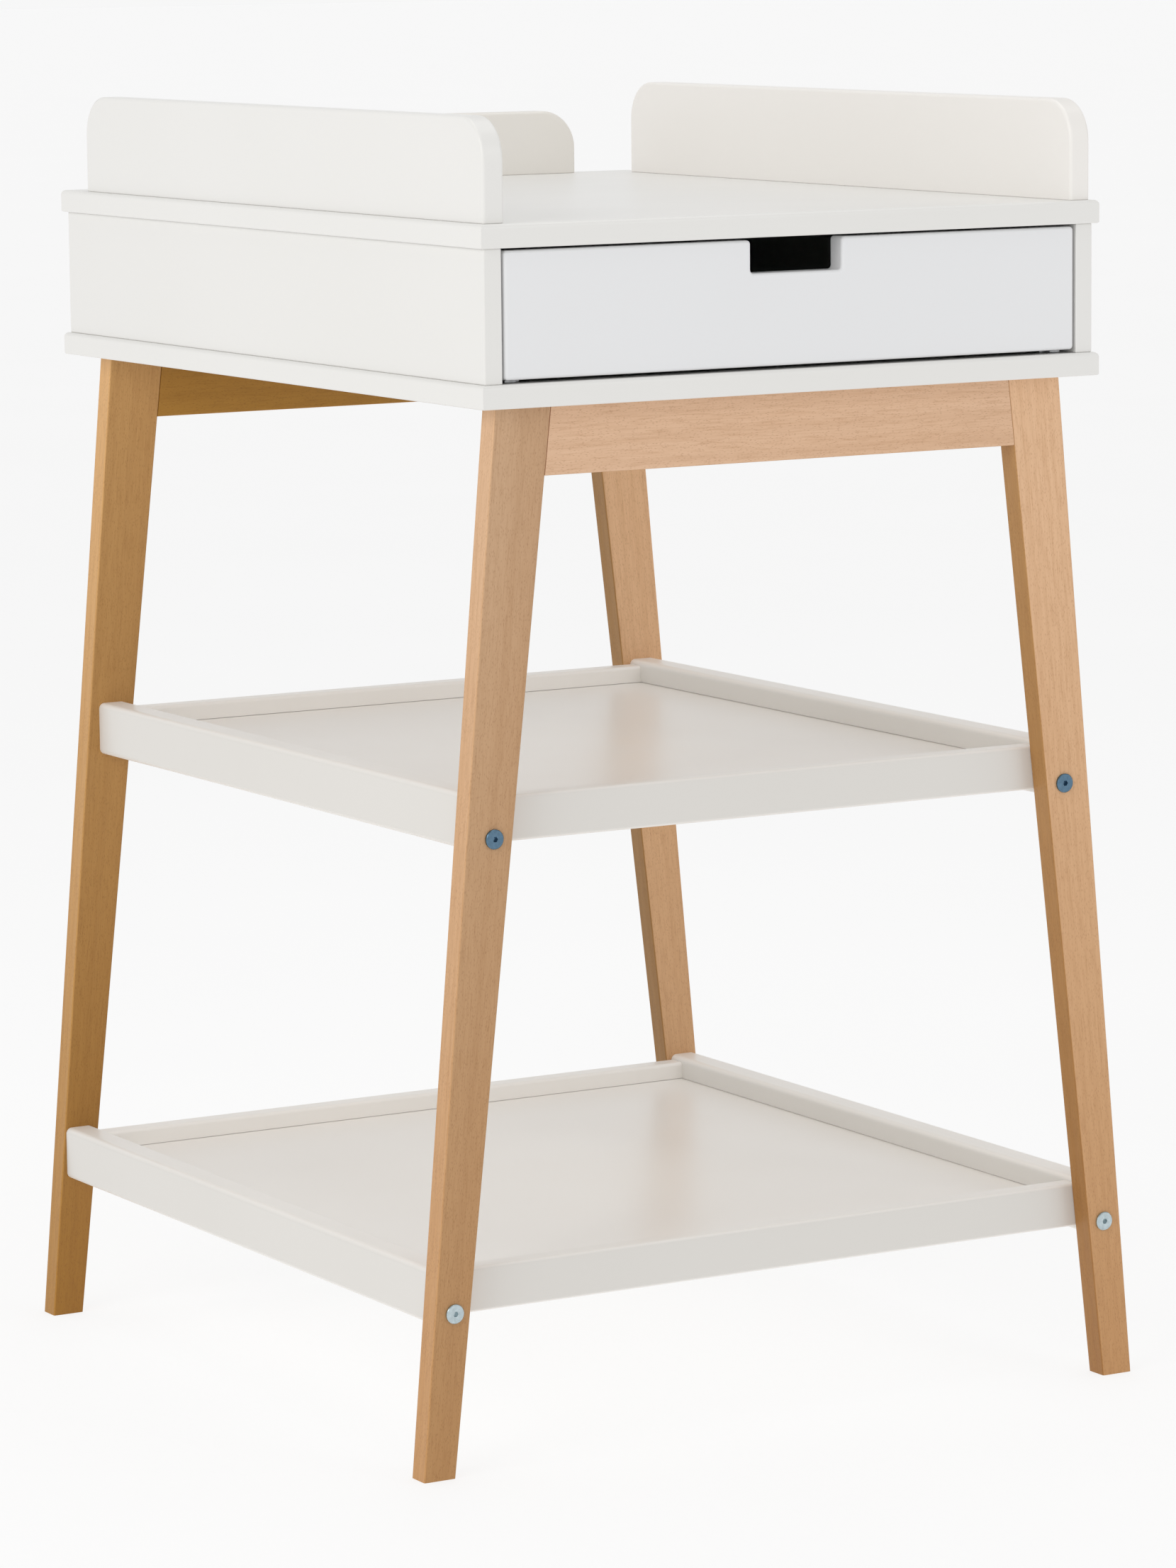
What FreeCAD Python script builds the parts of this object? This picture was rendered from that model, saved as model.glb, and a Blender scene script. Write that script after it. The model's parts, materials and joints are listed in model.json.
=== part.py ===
import FreeCAD, Part
import math
import os
import re

import Sketcher
from FreeCAD import Placement, Rotation, Vector

# Changing table: a lacquered case with a drawer and guards, on a beech stand with two trays.
# The origin is on the floor under the middle of the tabletop. +Z is up, the drawer opens towards -Y.

# ---------------------------------------------------------------- driving dimensions, in millimetres

SIZES = [
    # the case
    ("top_width", 550, "tabletop and base panel, left to right"),
    ("top_depth", 710, "tabletop and base panel, front to back"),
    ("top_thickness", 18, "tabletop"),
    ("base_thickness", 18, "base panel"),
    ("board_upper_radius", 3.5, "rounding round the tops of the tabletop and base panel"),
    ("board_lower_radius", 1.5, "rounding round their undersides"),
    ("leg_height", 806, "floor to the underside of the base panel"),
    ("case_inner_height", 100, "base panel to tabletop"),
    ("panel_inset", 4, "tabletop's edge to the side panels' outer faces and ends"),
    ("side_thickness", 15, "side panels"),
    ("side_edge_radius", 1, "rounding of the side panels' edges"),
    ("back_thickness", 12, "case back panel"),
    ("back_groove", 5, "how deep the back panel sits in each side panel"),
    # the guards
    ("guard_thickness", 18, "all three guards"),
    ("guard_height", 78, "side guards, above the tabletop"),
    ("guard_inset", 5, "tabletop's edge to a guard's outer face"),
    ("guard_front_inset", 6, "tabletop's front edge to the side guards' front ends"),
    ("guard_rear_inset", 39, "tabletop's rear edge to the side guards' rear ends"),
    ("guard_corner_radius", 32, "rounded upper corners of the guards"),
    ("guard_edge_radius", 2.5, "rounding along the guards' edges"),
    ("guard_foot_radius", 0.8, "rounding of the guards' lower edges"),
    ("back_guard_gap", 46, "side guards' inner faces to the ends of the back guard"),
    ("back_guard_height", 54, "back guard, above the tabletop"),
    # the drawer
    ("drawer_gap_side", 2.2, "drawer front to each side panel"),
    ("drawer_gap_top", 2, "drawer front to the tabletop"),
    ("drawer_gap_bottom", 2.8, "drawer front to the base panel"),
    ("drawer_front_thickness", 16, "drawer front"),
    ("drawer_edge_radius", 2.5, "rounding round the drawer front's face"),
    ("drawer_corner_radius", 3, "corners of the drawer front and of its finger notch"),
    ("notch_width", 81, "finger notch"),
    ("notch_depth", 25, "finger notch, down from the drawer front's top"),
    ("box_thickness", 12, "drawer sides and back"),
    ("box_gap", 1.9, "base panel to the drawer sides' lower edges"),
    ("box_height", 75, "drawer sides and back"),
    ("box_depth", 550, "drawer sides, front to back"),
    ("bottom_thickness", 4, "drawer bottom"),
    ("bottom_rise", 14, "drawer sides' lower edges to the drawer bottom"),
    ("bottom_groove", 5, "how deep the drawer bottom sits in the box"),
    # the runners and rollers
    ("runner_space", 12.5, "side panel to drawer side"),
    ("runner_metal", 1.5, "sheet of the runners"),
    ("runner_setback", 5, "drawer front's back to the case runners' front ends"),
    ("runner_lift", 0.5, "base panel to the case runners"),
    ("track_width", 9.5, "lower flange of a case runner"),
    ("keeper_width", 7.5, "upper flange of a case runner"),
    ("keeper_gap", 0.8, "drawer runner's lip to the upper flange above it"),
    ("lip_gap", 3.5, "drawer runner's lip to the side panel"),
    ("sole_width", 10.5, "drawer runner's flange under the drawer side"),
    ("tab_setback", 11, "drawer front's face to the runners' front tabs"),
    ("tab_inner", 4.5, "drawer side's outer face inwards to a front tab's inner edge"),
    ("tab_outer", 4.5, "drawer side's outer face outwards to a front tab's outer edge"),
    ("tab_gap", 2, "front tabs to the case runners' front ends"),
    ("roller_radius", 10, "rollers"),
    ("roller_width", 5, "rollers"),
    ("roller_clearance", 0.2, "roller to track, lip and collars"),
    ("roller_setback", 15, "roller axis to the end of its runner"),
    ("pin_radius", 2.5, "roller pins"),
    ("pin_clearance", 0.05, "roller bore to pin, on the radius"),
    ("pin_collar_radius", 4, "collar and head of a roller pin"),
    ("pin_head", 0.8, "head of a roller pin"),
    # the stand
    ("leg_thickness", 20, "legs and aprons, front to back"),
    ("stand_inset", 22, "base panel's front and rear edges to the legs' outer faces"),
    ("leg_top_inset", 22.5, "base panel's side edges to the legs' outer edges"),
    ("leg_splay", 72, "how far a leg's outer edge leans out between base panel and floor"),
    ("leg_top_width", 48, "a leg under the base panel"),
    ("leg_foot_width", 27, "a leg on the floor"),
    ("leg_edge_radius", 1.5, "rounding along the legs"),
    ("apron_height", 53, "front and rear aprons"),
    # the trays
    ("rail_width", 25, "side rails of a tray"),
    ("rail_height", 43, "side rails of a tray"),
    ("rail_radius", 5, "rounding along the side rails"),
    ("cross_thickness", 18, "front and back rails of a tray"),
    ("cross_height", 35, "front and back rails of a tray"),
    ("cross_radius", 3, "rounding along the front and back rails"),
    ("panel_thickness", 10, "tray panels"),
    ("panel_drop", 14.5, "front rail's top to the tray panel"),
    ("panel_groove", 6, "how deep a tray panel sits in its rails"),
    ("panel_clearance", 0.3, "panels to the ends and walls of their grooves"),
    ("middle_tray_inset", 9.8, "legs' outer edges to the middle tray's side rails"),
    ("middle_tray_height", 495, "floor to the middle of its rails"),
    ("lower_tray_inset", 2.7, "legs' outer edges to the lower tray's side rails"),
    ("lower_tray_height", 138, "floor to the middle of its rails"),
    # the fixings
    ("bolt_radius", 3, "shelf bolts"),
    ("bolt_tail", 6, "middle of a barrel nut to the end of its bolt"),
    ("bolt_head_radius", 7.5, "shelf bolts"),
    ("bolt_head", 2, "shelf bolts"),
    ("bolt_socket", 2.3, "hexagon socket, centre to corner"),
    ("bolt_drop", 11, "middle of a side rail down to its bolts"),
    ("bolt_clearance", 0.3, "bolt holes, on the radius"),
    ("barrel_radius", 5, "barrel nuts"),
    ("barrel_length", 19, "barrel nuts"),
    ("barrel_setback", 30, "end of a side rail to its barrel nut"),
    ("dowel_radius", 4, "case, guard, apron and tray dowels"),
    ("dowel_length", 30, "case, guard, apron and tray dowels"),
    ("dowel_shallow", 12, "how deep a dowel sits in the thinner piece"),
    ("small_dowel_radius", 3, "drawer dowels"),
    ("small_dowel_length", 24, "drawer dowels"),
    ("small_dowel_shallow", 8, "how deep a drawer dowel sits in the front or side"),
    ("hole_clearance", 0.1, "cams and cam bolts to their holes, on the radius"),
    ("cam_radius", 7.5, "cams"),
    ("cam_depth", 12, "cams"),
    ("cam_reach", 34, "panel edge to cam axis"),
    ("cam_bolt_radius", 3.5, "cam bolts"),
    ("cam_bolt_grip", 11, "how deep a cam bolt sits in the board"),
    ("screw_radius", 2, "guard, runner and drawer screws"),
    ("guard_screw_length", 45, "guard screws"),
    ("drawer_screw_length", 38, "drawer screws"),
    ("short_screw_length", 11, "runner screws"),
    ("screw_head_radius", 4, "countersunk heads"),
    ("screw_head", 2.4, "countersunk heads"),
    ("pan_head_radius", 3.5, "runner screws"),
    ("pan_head", 1, "runner screws"),
    ("frame_screw_radius", 2.5, "frame screws"),
    ("frame_screw_length", 55, "frame screws"),
    # where the fixings sit
    ("cam_inset", 100, "side panel's ends to its cams"),
    ("case_dowel_inset", 150, "side panel's ends to its dowels"),
    ("guard_screw_inset", 42.5, "guard's ends to its outer screws"),
    ("runner_screw_inset", 62.5, "runner's ends to its outer screws"),
    ("apron_screw_inset", 75, "apron's upper ends to its outer screws"),
    ("leg_screw_inset", 14, "outer edge of a leg's top to its screw"),
    ("apron_dowel_upper", 15, "base panel down to the upper apron dowels"),
    ("apron_dowel_lower", 38, "base panel down to the lower apron dowels"),
    ("tray_dowel_drop", 8, "front rail's top to the middle of its dowels"),
    ("box_dowel_edge", 22, "drawer bottom, and box's upper edge, to the drawer dowels"),
    ("box_screw_edge", 12, "drawer bottom, and box's upper edge, to the drawer screws"),
]

# Places that follow from the driving dimensions. Each is written with the names above.
PLACES = {
    "base_top": "leg_height + base_thickness",
    "case_top": "base_top + case_inner_height",
    "surface": "case_top + top_thickness",
    "half_width": "top_width / 2",
    "half_depth": "top_depth / 2",
    "side_outer": "half_width - panel_inset",
    "side_inner": "side_outer - side_thickness",
    "side_middle": "side_outer - side_thickness / 2",
    "case_end": "half_depth - panel_inset",
    "cam_pitch": "2 * (case_end - cam_inset)",
    "case_dowel_pitch": "2 * (case_end - case_dowel_inset)",
    "guard_outer": "half_width - guard_inset",
    "guard_middle": "guard_outer - guard_thickness / 2",
    "guard_length": "top_depth - guard_front_inset - guard_rear_inset",
    "guard_screw_pitch": "guard_length / 2 - guard_screw_inset",
    "back_guard_half": "guard_outer - guard_thickness - back_guard_gap",
    "back_screw_pitch": "back_guard_half - guard_screw_inset",
    "guard_centre": "(guard_front_inset - guard_rear_inset) / 2",
    "back_guard_middle": "half_depth - guard_inset - guard_thickness / 2",
    "drawer_low": "base_top + drawer_gap_bottom",
    "drawer_high": "case_top - drawer_gap_top",
    "drawer_half": "side_inner - drawer_gap_side",
    "box_low": "base_top + box_gap",
    "box_front": "drawer_front_thickness - case_end",
    "box_rear": "box_front + box_depth",
    "box_outer": "side_inner - runner_space",
    "box_inner": "box_outer - box_thickness",
    "bottom_low": "box_low + bottom_rise",
    "bottom_slot": "bottom_thickness + panel_clearance",
    "track": "base_top + runner_lift + runner_metal",
    "roller_height": "track + roller_clearance + roller_radius",
    "lip_under": "roller_height + roller_radius + roller_clearance",
    "keeper_under": "lip_under + runner_metal + keeper_gap",
    "drawer_web": "box_outer + runner_metal",
    "case_web": "side_inner - runner_metal",
    "roller_middle": "(drawer_web + case_web) / 2",
    "runner_front": "box_front + runner_setback",
    "runner_length": "box_depth - runner_setback",
    "runner_screw_pitch": "runner_length / 2 - runner_screw_inset",
    "pin_collar": "(case_web - drawer_web - roller_width) / 2 - roller_clearance",
    "runner_screw_height": "roller_height",
    "runner_middle": "runner_front + runner_length / 2",
    "front_axle": "runner_front + roller_setback",
    "rear_axle": "box_rear - roller_setback",
    "stand_end": "half_depth - stand_inset",
    "tray_end": "stand_end - leg_thickness",
    "stand_middle": "stand_end - leg_thickness / 2",
    "leg_outer_top": "half_width - leg_top_inset",
    "leg_inner_top": "leg_outer_top - leg_top_width",
    "leg_outer_foot": "leg_outer_top + leg_splay",
    "leg_inner_foot": "leg_outer_foot - leg_foot_width",
    "leg_lean": "(leg_inner_foot - leg_inner_top) / leg_height",
    "leg_screw": "leg_outer_top - leg_screw_inset",
    "apron_low": "leg_height - apron_height",
    "apron_long": "leg_inner_top + apron_height * leg_lean",
    "apron_screw_pitch": "leg_inner_top - apron_screw_inset",
    "leg_outer_middle": "leg_outer_foot - leg_splay * middle_tray_height / leg_height",
    "leg_outer_lower": "leg_outer_foot - leg_splay * lower_tray_height / leg_height",
    "middle_tray_half": "leg_outer_middle - middle_tray_inset",
    "lower_tray_half": "leg_outer_lower - lower_tray_inset",
    "bolt_length": "leg_thickness + barrel_setback + bolt_tail",
    "cross_inner": "tray_end - cross_thickness",
    "cross_middle": "tray_end - cross_thickness / 2",
    "dowel_deep": "dowel_length - dowel_shallow",
    "small_dowel_deep": "small_dowel_length - small_dowel_shallow",
    "bolt_hole": "bolt_radius + bolt_clearance",
    "end_play": "0.5",
}

LEFT, RIGHT = -1, 1
FRONT, REAR = -1, 1
SIDES = (("left", LEFT), ("right", RIGHT))
ENDS = (("front", FRONT), ("rear", REAR))

# How to turn something that points along +Z so that it points along each axis.
TURNS = {
    "+Z": Rotation(),
    "-Z": Rotation(Vector(1, 0, 0), 180),
    "+X": Rotation(Vector(0, 1, 0), 90),
    "-X": Rotation(Vector(0, 1, 0), -90),
    "+Y": Rotation(Vector(1, 0, 0), -90),
    "-Y": Rotation(Vector(1, 0, 0), 90),
}

document = FreeCAD.newDocument("changing_table")
sheet = document.addObject("Spreadsheet::Sheet", "Sizes")
for row, (alias, value, meaning) in enumerate(SIZES, start=1):
    sheet.set(f"A{row}", alias)
    sheet.set(f"B{row}", str(value))
    sheet.setAlias(f"B{row}", alias)
    sheet.set(f"C{row}", meaning)
document.recompute()

SIZE_NAMES = {alias for alias, value, meaning in SIZES}
pieces = []  # every sub-part that becomes a file
corner_of = {}  # body name: expressions of its own origin, in the table's frame


# ---------------------------------------------------------------- helpers


def formula(text):
    """An expression in the sheet's cells, from one written with plain size and place names."""

    def spell_out(match):
        word = match.group(0)
        if word in SIZE_NAMES:
            return "Sizes." + word
        if word in PLACES:
            return "(" + formula(PLACES[word]) + ")"
        return word

    return re.sub(r"[a-z]\w*", spell_out, str(text))


def bind(item, prop, text):
    item.setExpression(prop, formula(text))


def move(item, at):
    for axis, text in zip("xyz", at):
        bind(item, "Placement.Base." + axis, text)


def signed(side, text):
    """A distance from the middle plane, on the side given as -1 or 1."""
    return f"{side} * ({text})"


def outward(side):
    """The direction away from the middle plane."""
    return "+X" if side > 0 else "-X"


def inward(side):
    return outward(-side)


def low_edge(side, near, far):
    """The lower end of the stretch from near to far, measured outwards on one side."""
    return f"({near})" if side > 0 else f"-1 * ({far})"


def new_body(label, corner, is_piece=True):
    body = document.addObject("PartDesign::Body", label)
    body.Label = label
    corner_of[body.Name] = corner
    move(body, corner)
    if is_piece:
        pieces.append(body)
    return body


def local(body, at):
    """A point of the table's frame, in the body's own frame."""
    return [f"({a}) - ({c})" for a, c in zip(at, corner_of[body.Name])]


def origin_plane(body, role):
    return next(item for item in body.Origin.OriginFeatures if item.Role == role)


def outline(body, role, points, name):
    """A closed sketch on one of the body's origin planes, its corners bound to the sheet."""
    sketch = body.newObject("Sketcher::SketchObject", name)
    sketch.AttachmentSupport = [(origin_plane(body, role), "")]
    sketch.MapMode = "FlatFace"
    count = len(points)
    turns = [2 * math.pi * i / count for i in range(count)]
    rough = [Vector(10 * math.cos(turn), 10 * math.sin(turn), 0) for turn in turns]
    for i in range(count):
        sketch.addGeometry(Part.LineSegment(rough[i], rough[(i + 1) % count]), False)
    for i in range(count):
        sketch.addConstraint(Sketcher.Constraint("Coincident", i, 2, (i + 1) % count, 1))
    for i, (across, up) in enumerate(points):
        for kind, text in (("DistanceX", across), ("DistanceY", up)):
            index = sketch.addConstraint(Sketcher.Constraint(kind, -1, 1, i, 1, 1.0))
            sketch.setExpression(f"Constraints[{index}]", formula(text))
    return sketch


def pad(body, sketch, length, backwards=False):
    feature = body.newObject("PartDesign::Pad", body.Label + "_pad")
    feature.Profile = sketch
    bind(feature, "Length", length)
    feature.Reversed = backwards
    document.recompute()
    return feature


def board(label, low, size):
    """A rectangular board, padded up from its lower face. Its own origin is its lowest corner."""
    body = new_body(label, low)
    across, along, up = size
    corners = [("0", "0"), (across, "0"), (across, along), ("0", along)]
    pad(body, outline(body, "XY_Plane", corners, label + "_face"), up)
    return body


def soften(body, kind, prop, amount, wanted):
    """Fillets or chamfers the edges of the body's newest feature for which wanted(edge) is true."""
    document.recompute()
    base = body.Tip
    names = [f"Edge{i}" for i, edge in enumerate(base.Shape.Edges, start=1) if wanted(edge)]
    feature = body.newObject("PartDesign::" + kind, body.Label + "_" + kind.lower())
    feature.Base = (base, names)
    bind(feature, prop, amount)
    document.recompute()


def round_edges(body, radius, wanted):
    soften(body, "Fillet", "Radius", radius, wanted)


def chamfer_edges(body, size, wanted):
    soften(body, "Chamfer", "Size", size, wanted)


def runs_along(edge, axis):
    """True for a straight edge parallel to the axis, 0, 1 or 2 for X, Y or Z."""
    if edge.Curve.TypeId != "Part::GeomLine":
        return False
    direction = edge.tangentAt(edge.FirstParameter)
    return abs(abs(direction[axis]) - 1) < 1e-6


def drill(body, at, direction, radius, depth):
    """A round hole that starts at a point of the table's frame and runs along a direction."""
    hole = body.newObject("PartDesign::SubtractiveCylinder", body.Label + "_hole")
    hole.Placement = Placement(Vector(), TURNS[direction])
    bind(hole, "Radius", radius)
    bind(hole, "Height", depth)
    move(hole, local(body, at))
    return hole


def mill(body, low, size):
    """A rectangular groove or cut, its lowest corner given in the table's frame."""
    cut = body.newObject("PartDesign::SubtractiveBox", body.Label + "_cut")
    for prop, text in zip(("Length", "Width", "Height"), size):
        bind(cut, prop, text)
    move(cut, local(body, low))
    return cut


def countersink(body, at, direction, radius):
    """The seat of a countersunk screw head in the face at the given point."""
    seat = body.newObject("PartDesign::SubtractiveCone", body.Label + "_seat")
    seat.Placement = Placement(Vector(), TURNS[direction])
    bind(seat, "Radius1", "screw_head_radius")
    bind(seat, "Radius2", radius)
    bind(seat, "Height", "screw_head")
    move(seat, local(body, at))
    return seat


def add_cylinder(body, radius, start, length):
    part = body.newObject("PartDesign::AdditiveCylinder", body.Label + "_cylinder")
    bind(part, "Radius", radius)
    bind(part, "Height", length)
    bind(part, "Placement.Base.z", start)
    return part


def add_cone(body, first_radius, second_radius, start, length):
    part = body.newObject("PartDesign::AdditiveCone", body.Label + "_cone")
    bind(part, "Radius1", first_radius)
    bind(part, "Radius2", second_radius)
    bind(part, "Height", length)
    bind(part, "Placement.Base.z", start)
    return part


def pattern_body(label):
    """A body that is only copied into groups. It points along +Z from its own origin."""
    return new_body(label, ("0", "0", "0"), is_piece=False)


def group(label, pattern, places):
    """Copies of one body as separate solids of a single sub-part."""
    document.recompute()
    copies = []
    for at, direction in places:
        copy = document.addObject("App::Link", label + "_copy")
        copy.LinkedObject = pattern
        copy.LinkTransform = False
        copy.Placement = Placement(Vector(), TURNS[direction])
        move(copy, at)
        copies.append(copy)
    compound = document.addObject("Part::Compound", label)
    compound.Label = label
    compound.Links = copies
    pieces.append(compound)
    return compound


# ---------------------------------------------------------------- where the fixings go


BASE, TOP = -1, 1
PANEL_EDGES = {BASE: "base_top", TOP: "case_top"}
INTO_BOARD = {BASE: "-Z", TOP: "+Z"}
INTO_PANEL = {BASE: "+Z", TOP: "-Z"}


def case_fixings(pitch):
    """(side, level, y) for the fixings that join the side panels to the base panel and the tabletop."""
    return [
        (side, level, f"{end} * {pitch} / 2")
        for side in (LEFT, RIGHT)
        for level in (BASE, TOP)
        for end in (-1, 1)
    ]


def guard_points(pitches_side, pitches_back):
    """(x, y) of fixings in the middle of the side guards and of the back guard."""
    points = [
        (signed(side, "guard_middle"), f"guard_centre + {pitch}")
        for side in (LEFT, RIGHT)
        for pitch in pitches_side
    ]
    return points + [(pitch, "back_guard_middle") for pitch in pitches_back]


GUARD_SCREWS = guard_points(
    ("-1 * guard_screw_pitch", "0", "guard_screw_pitch"),
    ("-1 * back_screw_pitch", "back_screw_pitch"),
)
GUARD_DOWELS = guard_points(
    ("-1 * guard_screw_pitch / 2", "guard_screw_pitch / 2"),
    ("-1 * back_screw_pitch / 2", "back_screw_pitch / 2"),
)
FRAME_SCREWS = [
    (x, signed(end, "stand_middle"))
    for end in (FRONT, REAR)
    for x in ("-1 * leg_screw", "-1 * apron_screw_pitch", "0", "apron_screw_pitch", "leg_screw")
]
FRAME_SCREW_GRIP = "frame_screw_length - base_thickness + end_play"
TRAYS = (
    ("middle", "middle_tray_half", "middle_tray_height"),
    ("lower", "lower_tray_half", "lower_tray_height"),
)
APRON_DOWEL_DROPS = ("apron_dowel_upper", "apron_dowel_lower")
BOX_DOWEL_HEIGHTS = ("bottom_low + box_dowel_edge", "box_low + box_height - box_dowel_edge")
BOX_SCREW_HEIGHTS = ("bottom_low + box_screw_edge", "box_low + box_height - box_screw_edge")
RUNNER_SCREW_PLACES = (
    "runner_middle - runner_screw_pitch",
    "runner_middle",
    "runner_middle + runner_screw_pitch",
)


# ---------------------------------------------------------------- the case


def drill_for_side_panels(body, level):
    """Holes for the cam bolts and dowels, in the tabletop's or base panel's face."""
    for side, where, y in case_fixings("cam_pitch"):
        if where == level:
            at = (signed(side, "side_middle"), y, PANEL_EDGES[level])
            drill(body, at, INTO_BOARD[level], "cam_bolt_radius", "cam_bolt_grip + end_play")
    for side, where, y in case_fixings("case_dowel_pitch"):
        if where == level:
            at = (signed(side, "side_middle"), y, PANEL_EDGES[level])
            drill(body, at, INTO_BOARD[level], "dowel_radius", "dowel_shallow + end_play")


def round_board(body):
    """Rounds a board round its top and, less, round its underside. Its upright corners stay crisp."""
    top = body.Tip.Shape.BoundBox.ZMax
    round_edges(body, "board_upper_radius", lambda edge: edge.BoundBox.ZMin > top - 1e-3)
    round_edges(body, "board_lower_radius", lambda edge: edge.BoundBox.ZMax < 1e-3)


def make_tabletop():
    low = ("-1 * half_width", "-1 * half_depth", "case_top")
    body = board("tabletop", low, ("top_width", "top_depth", "top_thickness"))
    round_board(body)
    drill_for_side_panels(body, TOP)
    for x, y in GUARD_SCREWS:
        drill(body, (x, y, "case_top - end_play"), "+Z", "screw_radius", "top_thickness + 2 * end_play")
        countersink(body, (x, y, "case_top"), "+Z", "screw_radius")
    for x, y in GUARD_DOWELS:
        drill(body, (x, y, "surface"), "-Z", "dowel_radius", "dowel_shallow + end_play")


def make_base_panel():
    low = ("-1 * half_width", "-1 * half_depth", "leg_height")
    body = board("base_panel", low, ("top_width", "top_depth", "base_thickness"))
    round_board(body)
    drill_for_side_panels(body, BASE)
    for x, y in FRAME_SCREWS:
        at = (x, y, "base_top + end_play")
        drill(body, at, "-Z", "frame_screw_radius", "base_thickness + 2 * end_play")
        countersink(body, (x, y, "base_top"), "-Z", "frame_screw_radius")


def cam_height(level):
    """Height of a cam's axis, reached from the side panel's lower or upper edge."""
    return f"{PANEL_EDGES[level]} - {level} * cam_reach"


def make_side_panel(name, side):
    low = (low_edge(side, "side_inner", "side_outer"), "-1 * case_end", "base_top")
    body = board(name + "_side_panel", low, ("side_thickness", "2 * case_end", "case_inner_height"))
    round_edges(body, "side_edge_radius", lambda edge: True)
    for where, level, y in case_fixings("cam_pitch"):
        if where == side:
            at = (signed(side, "side_inner"), y, cam_height(level))
            drill(body, at, outward(side), "cam_radius + hole_clearance", "cam_depth")
            at = (signed(side, "side_middle"), y, PANEL_EDGES[level])
            drill(body, at, INTO_PANEL[level], "cam_bolt_radius + hole_clearance", "cam_reach")
    for where, level, y in case_fixings("case_dowel_pitch"):
        if where == side:
            at = (signed(side, "side_middle"), y, PANEL_EDGES[level])
            drill(body, at, INTO_PANEL[level], "dowel_radius", "dowel_deep + end_play")
    rebate_low = (
        low_edge(side, "side_inner - end_play", "side_inner + back_groove"),
        "case_end - back_thickness",
        "base_top - end_play",
    )
    rebate_size = (
        "back_groove + end_play",
        "back_thickness + end_play",
        "case_inner_height + 2 * end_play",
    )
    mill(body, rebate_low, rebate_size)
    for y in RUNNER_SCREW_PLACES:
        at = (signed(side, "side_inner"), y, "runner_screw_height")
        drill(body, at, outward(side), "screw_radius", "short_screw_length")


def make_case_back_panel():
    half = "(side_inner + back_groove - panel_clearance)"
    low = ("-1 * " + half, "case_end - back_thickness", "base_top")
    board("case_back_panel", low, ("2 * " + half, "back_thickness", "case_inner_height"))


def make_guard(label, low, size, across, screws, dowels):
    """A guard board, its thickness along the axis across. Its corners are rounded before its edges."""
    body = board(label, low, size)
    top = body.Tip.Shape.BoundBox.ZMax

    def is_upper_corner(edge):
        return runs_along(edge, across) and edge.CenterOfMass.z > top - 1e-3

    def is_outline(edge):
        return not runs_along(edge, across) and edge.BoundBox.ZMax > 1e-3

    round_edges(body, "guard_corner_radius", is_upper_corner)
    round_edges(body, "guard_edge_radius", is_outline)
    round_edges(body, "guard_foot_radius", lambda edge: edge.BoundBox.ZMax < 1e-3)
    for x, y in screws:
        at = (x, y, "surface")
        drill(body, at, "+Z", "screw_radius", "guard_screw_length - top_thickness + end_play")
    for x, y in dowels:
        drill(body, (x, y, "surface"), "+Z", "dowel_radius", "dowel_deep + end_play")


def make_guards():
    size = ("guard_thickness", "guard_length", "guard_height")
    for name, side in SIDES:
        low = (
            low_edge(side, "guard_outer - guard_thickness", "guard_outer"),
            "guard_front_inset - half_depth",
            "surface",
        )
        x_here = signed(side, "guard_middle")
        screws = [point for point in GUARD_SCREWS if point[0] == x_here]
        dowels = [point for point in GUARD_DOWELS if point[0] == x_here]
        make_guard(name + "_guard", low, size, 0, screws, dowels)
    low = ("-1 * back_guard_half", "half_depth - guard_inset - guard_thickness", "surface")
    size = ("2 * back_guard_half", "guard_thickness", "back_guard_height")
    screws = [point for point in GUARD_SCREWS if point[1] == "back_guard_middle"]
    dowels = [point for point in GUARD_DOWELS if point[1] == "back_guard_middle"]
    make_guard("back_guard", low, size, 1, screws, dowels)


# ---------------------------------------------------------------- the drawer


def make_drawer_front():
    body = new_body("drawer_front", ("0", "-1 * case_end", "drawer_low"))
    height = "(drawer_high - drawer_low)"
    notch_floor = f"{height} - notch_depth"
    corners = [
        ("-1 * drawer_half", "0"),
        ("drawer_half", "0"),
        ("drawer_half", height),
        ("notch_width / 2", height),
        ("notch_width / 2", notch_floor),
        ("-1 * notch_width / 2", notch_floor),
        ("-1 * notch_width / 2", height),
        ("-1 * drawer_half", height),
    ]
    # The XZ plane faces -Y, so the pad runs backwards, into the drawer.
    face = outline(body, "XZ_Plane", corners, "drawer_front_face")
    pad(body, face, "drawer_front_thickness", backwards=True)
    round_edges(body, "drawer_corner_radius", lambda edge: runs_along(edge, 1))
    round_edges(body, "drawer_edge_radius", lambda edge: edge.BoundBox.YMax < 1e-3)
    groove = ("-1 * box_inner - bottom_groove", "box_front - bottom_groove", "bottom_low")
    groove_size = ("2 * (box_inner + bottom_groove)", "bottom_groove + end_play", "bottom_slot")
    mill(body, groove, groove_size)
    for side in (LEFT, RIGHT):
        for z in BOX_DOWEL_HEIGHTS:
            at = (signed(side, "box_outer - box_thickness / 2"), "box_front", z)
            drill(body, at, "-Y", "small_dowel_radius", "small_dowel_shallow + end_play")


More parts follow.
